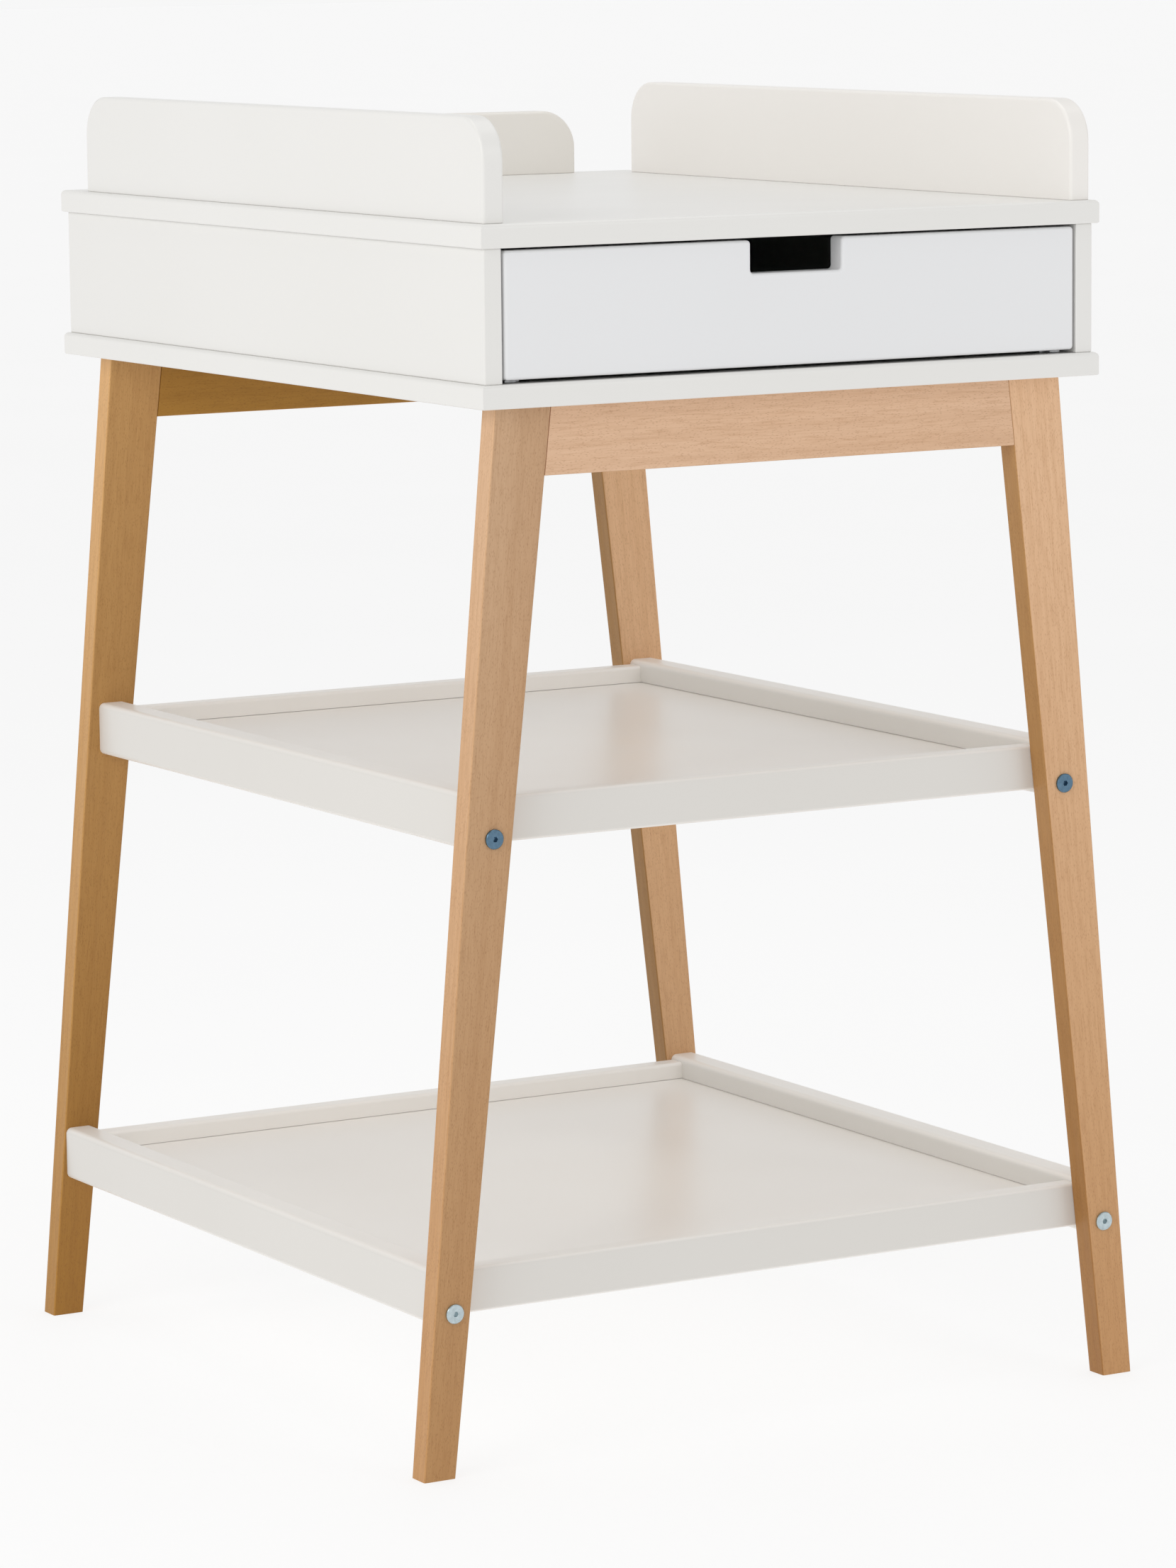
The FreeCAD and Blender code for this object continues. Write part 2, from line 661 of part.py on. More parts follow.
def make_drawer_side(name, side):
    low = (low_edge(side, "box_inner", "box_outer"), "box_front", "box_low")
    body = board(f"drawer_{name}_side", low, ("box_thickness", "box_depth", "box_height"))
    groove_low = (
        low_edge(side, "box_inner - end_play", "box_inner + bottom_groove"),
        "box_front - end_play",
        "bottom_low",
    )
    groove_length = "box_depth - box_thickness + bottom_groove + end_play"
    mill(body, groove_low, ("bottom_groove + end_play", groove_length, "bottom_slot"))
    for z in BOX_DOWEL_HEIGHTS:
        at = (signed(side, "box_outer - box_thickness / 2"), "box_front", z)
        drill(body, at, "+Y", "small_dowel_radius", "small_dowel_deep + end_play")
        at = (signed(side, "box_inner"), "box_rear - box_thickness / 2", z)
        drill(body, at, outward(side), "small_dowel_radius", "small_dowel_shallow + end_play")
    for z in BOX_SCREW_HEIGHTS:
        at = (signed(side, "box_outer"), "box_rear - box_thickness / 2", z)
        drill(body, at, inward(side), "screw_radius", "box_thickness + end_play")
        countersink(body, at, inward(side), "screw_radius")
    for y in RUNNER_SCREW_PLACES:
        at = (signed(side, "box_outer"), y, "runner_screw_height")
        drill(body, at, inward(side), "screw_radius", "short_screw_length - runner_metal")


def make_drawer_back():
    low = ("-1 * box_inner", "box_rear - box_thickness", "box_low")
    body = board("drawer_back", low, ("2 * box_inner", "box_thickness", "box_height"))
    groove_low = ("-1 * box_inner - end_play", "box_rear - box_thickness - end_play", "bottom_low")
    mill(body, groove_low, ("2 * (box_inner + end_play)", "bottom_groove + end_play", "bottom_slot"))
    for side in (LEFT, RIGHT):
        for z in BOX_DOWEL_HEIGHTS:
            at = (signed(side, "box_inner"), "box_rear - box_thickness / 2", z)
            drill(body, at, inward(side), "small_dowel_radius", "small_dowel_deep + end_play")
        for z in BOX_SCREW_HEIGHTS:
            at = (signed(side, "box_inner"), "box_rear - box_thickness / 2", z)
            drill(body, at, inward(side), "screw_radius", "drawer_screw_length - box_thickness + end_play")


def make_drawer_bottom():
    half = "(box_inner + bottom_groove - panel_clearance)"
    low = ("-1 * " + half, "box_front - bottom_groove + panel_clearance", "bottom_low")
    length = "box_depth - box_thickness + 2 * bottom_groove - 2 * panel_clearance"
    board("drawer_bottom", low, ("2 * " + half, length, "bottom_thickness"))


# ---------------------------------------------------------------- the runners


def add_plate(body, side, near, far, y, length, z, height):
    """One flat of a runner, from near to far outwards on one side."""
    plate = body.newObject("PartDesign::AdditiveBox", body.Label + "_flat")
    bind(plate, "Length", f"({far}) - ({near})")
    bind(plate, "Width", length)
    bind(plate, "Height", height)
    move(plate, local(body, (low_edge(side, near, far), y, z)))
    return plate


def make_case_runner(name, side):
    """A channel on the side panel: the rear roller runs inside it, on the lower flange."""
    body = new_body(name + "_case_runner", (signed(side, "side_inner"), "runner_front", "track"))
    span = ("runner_front", "runner_length")
    foot = "track - runner_metal"
    web_height = "keeper_under - track + 2 * runner_metal"
    add_plate(body, side, "case_web", "side_inner", *span, foot, web_height)
    add_plate(body, side, "side_inner - track_width", "side_inner", *span, foot, "runner_metal")
    add_plate(body, side, "side_inner - keeper_width", "side_inner", *span, "keeper_under", "runner_metal")
    start = signed(side, "side_inner + end_play")
    through = "runner_metal + 2 * end_play"
    for y in RUNNER_SCREW_PLACES:
        drill(body, (start, y, "runner_screw_height"), inward(side), "screw_radius", through)
    drill(body, (start, "front_axle", "roller_height"), inward(side), "pin_radius", through)


def make_drawer_runner(name, side):
    """An angle under the drawer side, with an outward lip that rides on the front roller."""
    body = new_body(name + "_drawer_runner", (signed(side, "box_outer"), "box_front", "box_low"))
    foot = "box_low - runner_metal"
    span = ("box_front + end_play", "box_depth - end_play")
    web_height = "lip_under - box_low + 2 * runner_metal"
    add_plate(body, side, "box_outer", "drawer_web", *span, foot, web_height)
    add_plate(body, side, "box_outer", "side_inner - lip_gap", *span, "lip_under", "runner_metal")
    add_plate(body, side, "box_outer - sole_width", "drawer_web", *span, foot, "runner_metal")
    tab_span = ("tab_setback - case_end", "runner_front - tab_gap - tab_setback + case_end")
    add_plate(body, side, "box_outer - tab_inner", "box_outer + tab_outer", *tab_span, foot, "runner_metal")
    start = signed(side, "box_outer - end_play")
    through = "runner_metal + 2 * end_play"
    for y in RUNNER_SCREW_PLACES:
        drill(body, (start, y, "runner_screw_height"), outward(side), "screw_radius", through)
    drill(body, (start, "rear_axle", "roller_height"), outward(side), "pin_radius", through)


def make_roller(label, side, y):
    """A roller about an axis along X, its edges chamfered."""
    body = new_body(label, (signed(side, "roller_middle"), y, "roller_height"))
    wheel = body.newObject("PartDesign::AdditiveCylinder", label + "_wheel")
    wheel.Placement = Placement(Vector(), TURNS["+X"])
    bind(wheel, "Radius", "roller_radius")
    bind(wheel, "Height", "roller_width")
    bind(wheel, "Placement.Base.x", "-1 * roller_width / 2")
    chamfer_edges(body, "roller_width / 10", lambda edge: not runs_along(edge, 0))
    bore = body.newObject("PartDesign::SubtractiveCylinder", label + "_bore")
    bore.Placement = Placement(Vector(), TURNS["+X"])
    bind(bore, "Radius", "pin_radius + pin_clearance")
    bind(bore, "Height", "2 * roller_width")
    bind(bore, "Placement.Base.x", "-1 * roller_width")


def make_rollers():
    for name, side in SIDES:
        make_roller(name + "_front_roller", side, "front_axle")
        make_roller(name + "_rear_roller", side, "rear_axle")
    pin = pattern_body("roller_pin")
    held = "pin_collar + roller_width + 2 * roller_clearance"
    add_cylinder(pin, "pin_radius", "-1 * runner_metal", f"runner_metal + {held}")
    add_cylinder(pin, "pin_collar_radius", "0", "pin_collar")
    add_cylinder(pin, "pin_collar_radius", held, "pin_head")
    front = []
    rear = []
    for side in (LEFT, RIGHT):
        front.append(((signed(side, "case_web"), "front_axle", "roller_height"), inward(side)))
        rear.append(((signed(side, "drawer_web"), "rear_axle", "roller_height"), outward(side)))
    group("front_roller_pins", pin, front)
    group("rear_roller_pins", pin, rear)


# ---------------------------------------------------------------- the stand


def make_leg(label, side, end):
    """A flat tapered leg that leans outwards, drawn for the right side and turned for the left."""
    body = new_body(label, ("0", signed(end, "stand_middle"), "0"))
    body.Placement = Placement(Vector(), Rotation(Vector(0, 0, 1), 0 if side > 0 else 180))
    corners = [
        ("leg_inner_foot", "0"),
        ("leg_outer_foot", "0"),
        ("leg_outer_top", "leg_height"),
        ("leg_inner_top", "leg_height"),
    ]
    blank = pad(body, outline(body, "XZ_Plane", corners, label + "_face"), "leg_thickness")
    blank.SideType = "Symmetric"
    document.recompute()
    round_edges(body, "leg_edge_radius", lambda edge: edge.BoundBox.ZLength > sheet.leg_height / 2)
    # The holes are drawn for the right side too, from the leg's own origin.
    corner_of[body.Name] = ("0", "0", "0")
    reach = "leg_thickness + 2 * end_play"
    for name, half, height in TRAYS:
        at = (f"{half} - rail_width / 2", "-1 * leg_thickness / 2 - end_play", f"{height} - bolt_drop")
        drill(body, at, "+Y", "bolt_hole", reach)
    for drop in APRON_DOWEL_DROPS:
        at = (f"leg_inner_top + {drop} * leg_lean - end_play * 10", "0", f"leg_height - {drop}")
        drill(body, at, "+X", "dowel_radius", "dowel_length / 2 + end_play * 11")
    drill(body, ("leg_screw", "0", "leg_height"), "-Z", "frame_screw_radius", FRAME_SCREW_GRIP)


def make_apron(label, end):
    body = new_body(label, ("0", signed(end, "stand_middle"), "apron_low"))
    corners = [
        ("-1 * apron_long", "0"),
        ("apron_long", "0"),
        ("leg_inner_top", "apron_height"),
        ("-1 * leg_inner_top", "apron_height"),
    ]
    blank = pad(body, outline(body, "XZ_Plane", corners, label + "_face"), "leg_thickness")
    blank.SideType = "Symmetric"
    document.recompute()
    round_edges(body, "leg_edge_radius", lambda edge: runs_along(edge, 0) and edge.BoundBox.ZMax < 1e-3)
    y = signed(end, "stand_middle")
    for side in (LEFT, RIGHT):
        for drop in APRON_DOWEL_DROPS:
            joint = f"leg_inner_top + {drop} * leg_lean"
            at = (signed(side, f"{joint} - dowel_length / 2 - end_play"), y, f"leg_height - {drop}")
            drill(body, at, outward(side), "dowel_radius", "dowel_length / 2 + end_play * 11")
    for x, screw_y in FRAME_SCREWS:
        if screw_y == y and "leg_screw" not in x:
            drill(body, (x, y, "leg_height"), "-Z", "frame_screw_radius", FRAME_SCREW_GRIP)


# ---------------------------------------------------------------- the trays


def make_side_rail(label, side, half, height):
    """A tray's side rail. Bolts come in from both ends and meet barrel nuts put in from below."""
    low = (low_edge(side, f"{half} - rail_width", half), "-1 * tray_end", f"{height} - rail_height / 2")
    body = board(label, low, ("rail_width", "2 * tray_end", "rail_height"))
    round_edges(body, "rail_radius", lambda edge: runs_along(edge, 1))
    groove_low = (
        low_edge(side, f"{half} - rail_width - end_play", f"{half} - rail_width + panel_groove"),
        "-1 * cross_inner - panel_groove",
    )
    groove_size = ("panel_groove + end_play", "2 * (cross_inner + panel_groove)")
    cut_panel_groove(body, groove_low, groove_size, height)
    middle = signed(side, f"{half} - rail_width / 2")
    for end, into in ((FRONT, "+Y"), (REAR, "-Y")):
        at = (middle, signed(end, "tray_end + end_play"), f"{height} - bolt_drop")
        drill(body, at, into, "bolt_hole", "bolt_length - leg_thickness + 8 * end_play")
        at = (middle, signed(end, "tray_end - barrel_setback"), f"{height} - rail_height / 2 - end_play")
        reach = "rail_height / 2 - bolt_drop + barrel_length / 2 + 2 * end_play"
        drill(body, at, "+Z", "barrel_radius", reach)
        at = (signed(side, f"{half} - rail_width"), signed(end, "cross_middle"), tray_dowel_height(height))
        drill(body, at, outward(side), "dowel_radius", "dowel_shallow + end_play")


def panel_underside(height):
    return f"{height} + cross_height / 2 - panel_drop - panel_thickness"


def tray_dowel_height(height):
    return f"{height} + cross_height / 2 - tray_dowel_drop"


def cut_panel_groove(body, low, size, height):
    """The groove that holds a tray panel, cut level with it."""
    mill(body, (*low, panel_underside(height)), (*size, "panel_thickness + panel_clearance"))


def make_cross_rail(label, end, half, height):
    """A tray's front or back rail, between the side rails."""
    inner = f"({half} - rail_width)"
    low = (f"-1 * {inner}", low_edge(end, "cross_inner", "tray_end"), f"{height} - cross_height / 2")
    body = board(label, low, (f"2 * {inner}", "cross_thickness", "cross_height"))
    round_edges(body, "cross_radius", lambda edge: runs_along(edge, 0))
    groove_low = (
        f"-1 * {inner} - end_play",
        low_edge(end, "cross_inner - end_play", "cross_inner + panel_groove"),
    )
    groove_size = (f"2 * ({inner} + end_play)", "panel_groove + end_play")
    cut_panel_groove(body, groove_low, groove_size, height)
    for side in (LEFT, RIGHT):
        at = (signed(side, inner), signed(end, "cross_middle"), tray_dowel_height(height))
        drill(body, at, inward(side), "dowel_radius", "dowel_deep + end_play")


def make_tray(name, half, height):
    for side_name, side in SIDES:
        make_side_rail(f"{name}_{side_name}_rail", side, half, height)
    for end_name, end in (("front", FRONT), ("back", REAR)):
        make_cross_rail(f"{name}_{end_name}_rail", end, half, height)
    half_across = f"({half} - rail_width + panel_groove - panel_clearance)"
    half_along = "(cross_inner + panel_groove - panel_clearance)"
    low = (f"-1 * {half_across}", f"-1 * {half_along}", panel_underside(height))
    board(f"{name}_panel", low, (f"2 * {half_across}", f"2 * {half_along}", "panel_thickness"))


# ---------------------------------------------------------------- the fixings


def make_dowels():
    dowel = pattern_body("dowel")
    add_cylinder(dowel, "dowel_radius", "-1 * dowel_shallow", "dowel_length")
    places = [
        ((signed(side, "side_middle"), y, PANEL_EDGES[level]), INTO_PANEL[level])
        for side, level, y in case_fixings("case_dowel_pitch")
    ]
    group("case_dowels", dowel, places)
    group("guard_dowels", dowel, [((x, y, "surface"), "+Z") for x, y in GUARD_DOWELS])
    places = []
    for name, half, height in TRAYS:
        for side in (LEFT, RIGHT):
            for end in (FRONT, REAR):
                x = signed(side, f"{half} - rail_width")
                places.append(((x, signed(end, "cross_middle"), tray_dowel_height(height)), inward(side)))
    group("tray_dowels", dowel, places)

    centred = pattern_body("centred_dowel")
    add_cylinder(centred, "dowel_radius", "-1 * dowel_length / 2", "dowel_length")
    places = []
    for side in (LEFT, RIGHT):
        for end in (FRONT, REAR):
            for drop in APRON_DOWEL_DROPS:
                x = signed(side, f"leg_inner_top + {drop} * leg_lean")
                places.append(((x, signed(end, "stand_middle"), f"leg_height - {drop}"), "+X"))
    group("apron_dowels", centred, places)

    small = pattern_body("small_dowel")
    add_cylinder(small, "small_dowel_radius", "-1 * small_dowel_shallow", "small_dowel_length")
    places = []
    for side in (LEFT, RIGHT):
        for z in BOX_DOWEL_HEIGHTS:
            places.append(((signed(side, "box_outer - box_thickness / 2"), "box_front", z), "+Y"))
            places.append(((signed(side, "box_inner"), "box_rear - box_thickness / 2", z), inward(side)))
    group("drawer_dowels", small, places)


def make_cams():
    cam = pattern_body("cam")
    add_cylinder(cam, "cam_radius", "0", "cam_depth")
    mouth = cam.newObject("PartDesign::SubtractiveCylinder", "cam_mouth")
    mouth.Placement = Placement(Vector(), TURNS["+X"])
    bind(mouth, "Radius", "cam_bolt_radius + hole_clearance")
    bind(mouth, "Height", "2 * (cam_radius + end_play)")
    bind(mouth, "Placement.Base.x", "-1 * (cam_radius + end_play)")
    bind(mouth, "Placement.Base.z", "side_thickness / 2")
    places = [
        ((signed(side, "side_inner"), y, cam_height(level)), outward(side))
        for side, level, y in case_fixings("cam_pitch")
    ]
    group("case_cams", cam, places)

    bolt = pattern_body("cam_bolt")
    add_cylinder(bolt, "cam_bolt_radius", "-1 * cam_bolt_grip", "cam_bolt_grip + cam_reach - end_play")
    places = [
        ((signed(side, "side_middle"), y, PANEL_EDGES[level]), INTO_PANEL[level])
        for side, level, y in case_fixings("cam_pitch")
    ]
    group("case_cam_bolts", bolt, places)


def screw_pattern(label, radius, length, countersunk=True):
    """A wood screw along +Z. A countersunk head ends flush with its origin, a pan head stands before it."""
    screw = pattern_body(label)
    tip = f"2 * {radius}"
    if countersunk:
        add_cone(screw, "screw_head_radius", radius, "0", "screw_head")
        add_cylinder(screw, radius, "screw_head", f"{length} - screw_head - {tip}")
    else:
        add_cylinder(screw, "pan_head_radius", "-1 * pan_head", "pan_head")
        add_cylinder(screw, radius, "0", f"{length} - {tip}")
    add_cone(screw, radius, f"{radius} / 4", f"{length} - {tip}", tip)
    return screw


def make_screws():
    screw = screw_pattern("guard_screw", "screw_radius", "guard_screw_length")
    group("guard_screws", screw, [((x, y, "case_top"), "+Z") for x, y in GUARD_SCREWS])

    screw = screw_pattern("frame_screw", "frame_screw_radius", "frame_screw_length")
    group("frame_screws", screw, [((x, y, "base_top"), "-Z") for x, y in FRAME_SCREWS])

    screw = screw_pattern("drawer_screw", "screw_radius", "drawer_screw_length")
    places = [
        ((signed(side, "box_outer"), "box_rear - box_thickness / 2", z), inward(side))
        for side in (LEFT, RIGHT)
        for z in BOX_SCREW_HEIGHTS
    ]
    group("drawer_screws", screw, places)

    screw = screw_pattern("runner_screw", "screw_radius", "short_screw_length", countersunk=False)
    rows = [(side, y) for side in (LEFT, RIGHT) for y in RUNNER_SCREW_PLACES]
    places = [((signed(side, "case_web"), y, "runner_screw_height"), outward(side)) for side, y in rows]
    group("case_runner_screws", screw, places)
    places = [((signed(side, "drawer_web"), y, "runner_screw_height"), inward(side)) for side, y in rows]
    group("drawer_runner_screws", screw, places)


def make_shelf_bolts():
    bolt = pattern_body("shelf_bolt")
    add_cylinder(bolt, "bolt_head_radius", "-1 * bolt_head", "bolt_head")
    chamfer_edges(bolt, "bolt_head / 4", lambda edge: edge.BoundBox.ZMax < -1e-3)
    add_cylinder(bolt, "bolt_radius", "0", "bolt_length")
    socket = bolt.newObject("PartDesign::SubtractivePrism", "shelf_bolt_socket")
    socket.Polygon = 6
    bind(socket, "Circumradius", "bolt_socket")
    bind(socket, "Height", "bolt_head * 1.5")
    bind(socket, "Placement.Base.z", "-1 * bolt_head - end_play")
    spots = [
        (signed(side, f"{half} - rail_width / 2"), end, f"{height} - bolt_drop")
        for name, half, height in TRAYS
        for side in (LEFT, RIGHT)
        for end in (FRONT, REAR)
    ]
    into = {FRONT: "+Y", REAR: "-Y"}
    group("shelf_bolts", bolt, [((x, signed(end, "stand_end"), z), into[end]) for x, end, z in spots])

    nut = pattern_body("barrel_nut")
    add_cylinder(nut, "barrel_radius", "-1 * barrel_length / 2", "barrel_length")
    thread = nut.newObject("PartDesign::SubtractiveCylinder", "barrel_nut_thread")
    thread.Placement = Placement(Vector(), TURNS["+Y"])
    bind(thread, "Radius", "bolt_radius")
    bind(thread, "Height", "4 * barrel_radius")
    bind(thread, "Placement.Base.y", "-2 * barrel_radius")
    places = [((x, signed(end, "tray_end - barrel_setback"), z), "+Z") for x, end, z in spots]
    group("barrel_nuts", nut, places)


# ---------------------------------------------------------------- everything


make_tabletop()
make_base_panel()
make_case_back_panel()
make_guards()
make_drawer_front()
make_drawer_back()
make_drawer_bottom()
for side_name, side_sign in SIDES:
    make_side_panel(side_name, side_sign)
    make_drawer_side(side_name, side_sign)
    make_case_runner(side_name, side_sign)
    make_drawer_runner(side_name, side_sign)
make_rollers()
for end_name, end_sign in ENDS:
    for side_name, side_sign in SIDES:
        make_leg(f"{end_name}_{side_name}_leg", side_sign, end_sign)
    make_apron(f"{end_name}_apron", end_sign)
for tray_name, tray_half, tray_height in TRAYS:
    make_tray(tray_name, tray_half, tray_height)
make_dowels()
make_cams()
make_screws()
make_shelf_bolts()
document.recompute()

faults = [
    f"{item.Label}: {', '.join(item.State)}"
    for item in document.Objects
    if "Invalid" in item.State or "Error" in item.State
]
for piece in pieces:
    if piece.Shape.isNull() or not piece.Shape.isValid():
        faults.append(f"{piece.Label}: no valid shape")
if faults:
    raise RuntimeError("; ".join(faults))

os.makedirs("parts", exist_ok=True)
for piece in pieces:
    piece.Shape.exportStep(f"parts/{piece.Label}.step")
print(f"{len(pieces)} sub-parts written")
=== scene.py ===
import json
import math

import bpy
from mathutils import Matrix, Vector

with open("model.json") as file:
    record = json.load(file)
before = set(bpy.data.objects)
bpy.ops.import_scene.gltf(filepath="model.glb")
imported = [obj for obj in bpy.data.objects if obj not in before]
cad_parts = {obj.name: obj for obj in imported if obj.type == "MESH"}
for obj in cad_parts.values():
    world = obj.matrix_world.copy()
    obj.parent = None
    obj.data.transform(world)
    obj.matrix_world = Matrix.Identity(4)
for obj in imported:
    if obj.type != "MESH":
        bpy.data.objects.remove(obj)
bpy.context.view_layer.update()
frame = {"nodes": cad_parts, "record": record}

# The table stands on the floor, its drawer faces -Y and its left side -X. Everything is in metres.

LEG_HEIGHT = 0.806
LEG_FOOT_OUT = 0.311  # a leg's middle line at the floor, from the middle of the table
LEG_TOP_OUT = 0.2285  # and at its top
LEG_LEAN = math.atan((LEG_FOOT_OUT - LEG_TOP_OUT) / LEG_HEIGHT)
BETWEEN_TRAYS = (0.29, 0.31)  # heights where the shelf bolts change colour, from zinc to a painted reflection
UNTINTED = (1.0, 1.0, 1.0)


# ---------------------------------------------------------------- node helpers


class Nodes:
    """A material's node tree, with short ways to add and link the nodes it needs."""

    def __init__(self, name):
        self.material = bpy.data.materials.new(name)
        self.material.use_nodes = True
        self.tree = self.material.node_tree
        self.shader = self.tree.nodes["Principled BSDF"]

    def add(self, kind, inputs=(), **settings):
        node = self.tree.nodes.new("ShaderNode" + kind)
        for key, value in settings.items():
            setattr(node, key, value)
        for key, value in dict(inputs).items():
            self.feed(node, key, value)
        return node

    def feed(self, node, key, value):
        if isinstance(value, bpy.types.NodeSocket):
            self.tree.links.new(value, node.inputs[key])
        else:
            node.inputs[key].default_value = value

    def set(self, **values):
        for key, value in values.items():
            self.feed(self.shader, key.replace("_", " "), value)

    def place(self, turn=(0, 0, 0), shift=(0, 0, 0)):
        """Coordinates in the frame, in metres, turned and shifted."""
        source = self.add("TexCoord").outputs["Object"]
        return self.add("Mapping", {"Vector": source, "Rotation": turn, "Location": shift}).outputs[0]

    def stretched(self, vector, stretch):
        return self.add("Mapping", {"Vector": vector, "Scale": stretch}).outputs[0]

    def height(self):
        """Height over the floor, in metres."""
        return self.add("SeparateXYZ", {"Vector": self.place()}).outputs["Z"]

    def facing(self, axis):
        """How far a face points along an axis of the frame, from -1 to 1."""
        normal = self.add("NewGeometry").outputs["Normal"]
        return self.add("SeparateXYZ", {"Vector": normal}).outputs[axis]

    def noise(self, vector, scale, detail=2.0, roughness=0.5):
        values = {"Vector": vector, "Scale": scale, "Detail": detail, "Roughness": roughness}
        return self.add("TexNoise", values).outputs["Fac"]

    def remap(self, value, low, high, out_low=0.0, out_high=1.0):
        values = {"Value": value, "From Min": low, "From Max": high, "To Min": out_low, "To Max": out_high}
        return self.add("MapRange", values).outputs["Result"]

    def math(self, operation, first, second=0.0):
        return self.add("Math", {0: first, 1: second}, operation=operation).outputs[0]

    def mix(self, factor, first, second, blend="MIX"):
        node = self.add("Mix", data_type="RGBA", blend_type=blend)
        for index, value in ((0, factor), (6, first), (7, second)):
            self.feed(node, index, value if not isinstance(value, tuple) else (*value, 1.0))
        return node.outputs[2]

    def bump(self, height, distance, strength=1.0, normal=None):
        values = {"Height": height, "Distance": distance, "Strength": strength}
        if normal is not None:
            values["Normal"] = normal
        return self.add("Bump", values).outputs["Normal"]

    def edge(self, radius, flat=0.985, sharp=0.86):
        """1 on edges tighter than the radius and 0 on flats, from how far the rounded normal leans."""
        soft = self.add("Bevel", {"Radius": radius}, samples=4).outputs["Normal"]
        true = self.add("NewGeometry").outputs["Normal"]
        lean = self.add("VectorMath", {0: soft, 1: true}, operation="DOT_PRODUCT").outputs["Value"]
        return self.remap(lean, flat, sharp)


# ---------------------------------------------------------------- materials


def lacquer(name, colour, dusk, roughness, seed, upright_shade=UNTINTED):
    """Satin lacquer over board: a faint orange peel, uneven sheen and slightly worn edges.

    It clouds from colour to dusk, and its upright faces are tinted with sides: a painted shade that makes
    them darker than its level faces.
    """
    n = Nodes(name)
    here = n.place(shift=(seed, seed * 0.7, seed * 1.3))
    cloud = n.noise(here, 3.0, 2.0)
    tone = n.mix(n.remap(cloud, 0.3, 0.7), colour, dusk)
    rubbed = n.math("MULTIPLY", n.edge(0.0016), n.remap(n.noise(here, 45.0, 3.0), 0.4, 0.7, 0.0, 0.55))
    worn = tuple(part * 0.93 for part in colour)
    # painted shade: upright faces are tinted darker than level faces
    level = n.math("ABSOLUTE", n.facing("Z"))
    tint = n.mix(n.remap(level, 0.75, 0.25), UNTINTED, upright_shade)
    n.set(Base_Color=n.mix(1.0, n.mix(rubbed, tone, worn), tint, "MULTIPLY"))
    n.set(Roughness=n.remap(n.noise(here, 9.0, 3.0, 0.6), 0.3, 0.7, roughness - 0.02, roughness + 0.03))
    peel = n.noise(here, 300.0, 1.0)
    n.set(Normal=n.bump(peel, 0.00004, 0.4))
    n.set(IOR=1.48)
    return n.material


def beech(name, turn, seed, upper, lower=None, side=UNTINTED):
    """Clear-lacquered beech, its grain along the turned Z axis.

    The faces towards -Y are tinted from upper, at the legs' tops, to lower, at the floor. The faces towards
    -X have that times side, and the others keep a middling tone. These tints are partly the wood's own
    colour and partly painted light and shade, darker or lighter by height and by the way a face points.
    """
    n = Nodes(name)
    here = n.place(turn=turn, shift=(seed * 0.37, seed * 0.53, seed * 1.9))
    sway = n.noise(n.stretched(here, (1.0, 1.0, 0.06)), 14.0, 2.0)
    # growth rings about a pith well outside the board
    growth = {"Scale": 42.0, "Distortion": 5.0, "Detail": 2.0, "Detail Scale": 0.35}
    growth["Vector"] = n.stretched(here, (1.0, 1.0, 0.05))
    rings = n.add("TexWave", growth, wave_type="RINGS", rings_direction="Z").outputs["Fac"]
    fibre = n.noise(n.stretched(here, (1.0, 1.0, 0.03)), 1100.0, 2.0)
    streak = n.noise(n.stretched(here, (1.0, 1.0, 0.02)), 160.0, 3.0)
    light, middle, dark = (0.735, 0.48, 0.295), (0.655, 0.402, 0.228), (0.5, 0.28, 0.14)
    tone = n.mix(n.remap(sway, 0.3, 0.7), light, middle)
    tone = n.mix(n.remap(rings, 0.5, 1.0, 0.0, 0.13), tone, dark)
    tone = n.mix(n.remap(streak, 0.5, 0.75, 0.0, 0.3), tone, middle)
    thread = n.noise(n.stretched(here, (1.0, 1.0, 0.08)), 620.0, 3.0, 0.65)
    tone = n.mix(n.remap(thread, 0.5, 0.72, 0.0, 0.42), tone, dark)
    tone = n.mix(n.remap(thread, 0.48, 0.3, 0.0, 0.3), tone, light)
    tone = n.mix(n.remap(fibre, 0.45, 0.8, 0.0, 0.25), tone, dark)
    # rays: short fine dark flecks along the grain
    grid = n.stretched(here, (1150.0, 1150.0, 330.0))
    cells = n.add("TexVoronoi", {"Vector": grid, "Scale": 1.0, "Randomness": 1.0})
    chosen = n.add("SeparateColor", {"Color": cells.outputs["Color"]}).outputs["Red"]
    spot = n.remap(cells.outputs["Distance"], 0.42, 0.15)
    fleck = n.math("MULTIPLY", spot, n.remap(chosen, 0.3, 0.55))
    tone = n.mix(n.math("MULTIPLY", fleck, 0.42), tone, (0.36, 0.18, 0.08))
    # painted light and shade: darker towards the floor, and lighter or darker by the way a face points
    tint = n.mix(n.remap(n.height(), 0.0, LEG_HEIGHT), lower or upper, upper)
    beside = n.mix(1.0, tint, side, "MULTIPLY")
    tint = n.mix(n.remap(n.facing("Y"), -0.4, -0.8), (0.96, 0.92, 0.86), tint)
    tint = n.mix(n.remap(n.facing("X"), -0.4, -0.8), tint, beside)
    n.set(Base_Color=n.mix(1.0, tone, tint, "MULTIPLY"))
    n.set(Roughness=n.remap(streak, 0.3, 0.7, 0.34, 0.48))
    grain = n.bump(fibre, 0.00008, 0.5)
    n.set(Normal=n.bump(fleck, 0.00005, -0.6, grain))
    n.set(IOR=1.46, Specular_IOR_Level=0.38)
    return n.material


